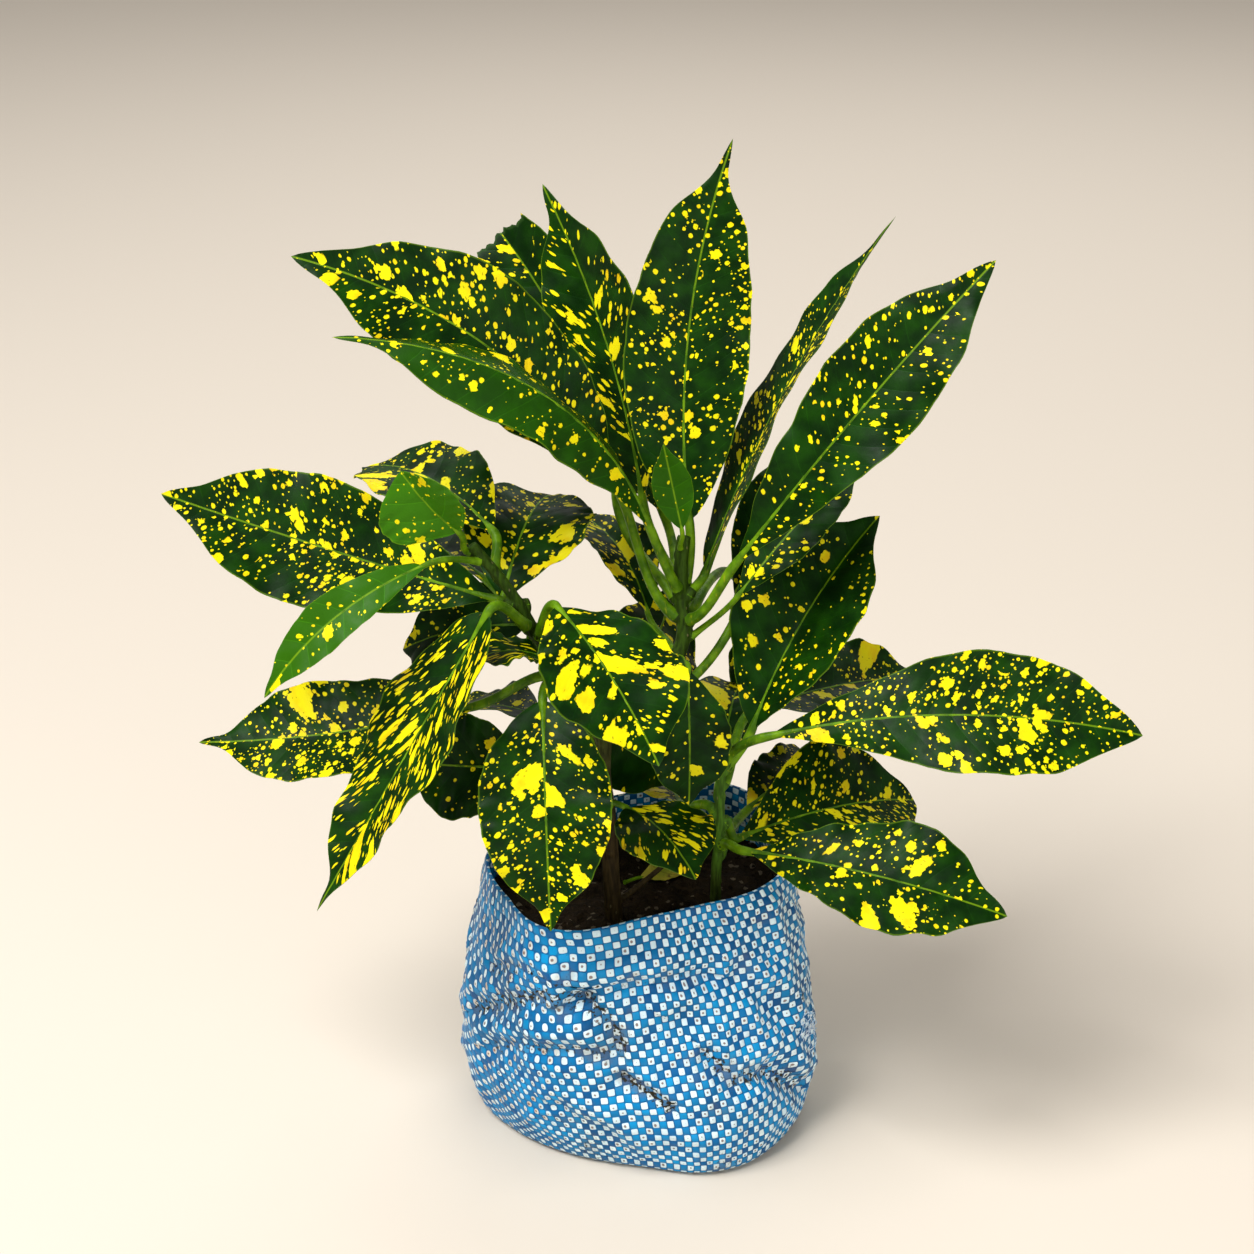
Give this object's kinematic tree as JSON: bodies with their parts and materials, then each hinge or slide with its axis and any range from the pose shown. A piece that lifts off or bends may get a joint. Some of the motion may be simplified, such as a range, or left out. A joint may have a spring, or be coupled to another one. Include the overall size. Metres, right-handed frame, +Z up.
{
  "type": "potted croton",
  "caption": "Young gold-dust croton with glossy dark green, yellow-splashed leaves, growing in soil in a cut-down blue and white checked woven plastic sack.",
  "frame": {"origin": "centre of the sack's flat base, on the surface that it stands on", "axes": "+Z up; +X to the right in the picture; +Y away from the camera"},
  "size_m": [0.3545, 0.2054, 0.3764],
  "materials": {
    "sack": "woven plastic tape, satin, blue and white check",
    "soil": "damp crumbly potting soil, matte",
    "stem": "young bark turning green towards the top, matte",
    "green_stem": "green shoot, satin",
    "leaf": "waxy and glossy, splashed with yellow",
    "young_leaf": "waxy, light green, few spots",
    "dry_leaf": "dry and matte, yellow-brown"
  },
  "bodies": {
    "root": {"sack": "sack", "soil": "soil", "main_stem": "stem", "right_stem": "green_stem", "crown_leaf_1": "leaf", "crown_leaf_2": "leaf", "crown_leaf_3": "leaf", "crown_leaf_4": "leaf", "crown_leaf_5": "leaf", "crown_leaf_6": "leaf", "crown_leaf_7": "leaf", "crown_leaf_8": "leaf", "crown_leaf_9": "leaf", "crown_bud_leaf": "young_leaf", "left_leaf_1": "leaf", "left_leaf_2": "leaf", "left_leaf_3": "young_leaf", "left_leaf_4": "leaf", "left_leaf_5": "leaf", "left_leaf_6": "leaf", "left_leaf_7": "leaf", "left_leaf_8": "leaf", "left_leaf_9": "leaf", "left_leaf_10": "leaf", "left_leaf_11": "leaf", "left_leaf_12": "leaf", "low_leaf_1": "leaf", "low_leaf_2": "leaf", "right_leaf_1": "leaf", "right_leaf_2": "leaf", "right_leaf_3": "leaf", "right_leaf_4": "leaf", "right_leaf_5": "leaf", "right_leaf_6": "leaf", "fallen_leaf": "dry_leaf", "crown_leaf_10": "leaf", "crown_leaf_11": "leaf", "crown_leaf_12": "leaf", "left_leaf_13": "leaf", "left_leaf_14": "leaf", "right_leaf_7": "leaf", "right_leaf_8": "leaf", "right_leaf_9": "leaf", "low_leaf_3": "leaf", "low_leaf_4": "leaf"}
  },
  "joints": []
}
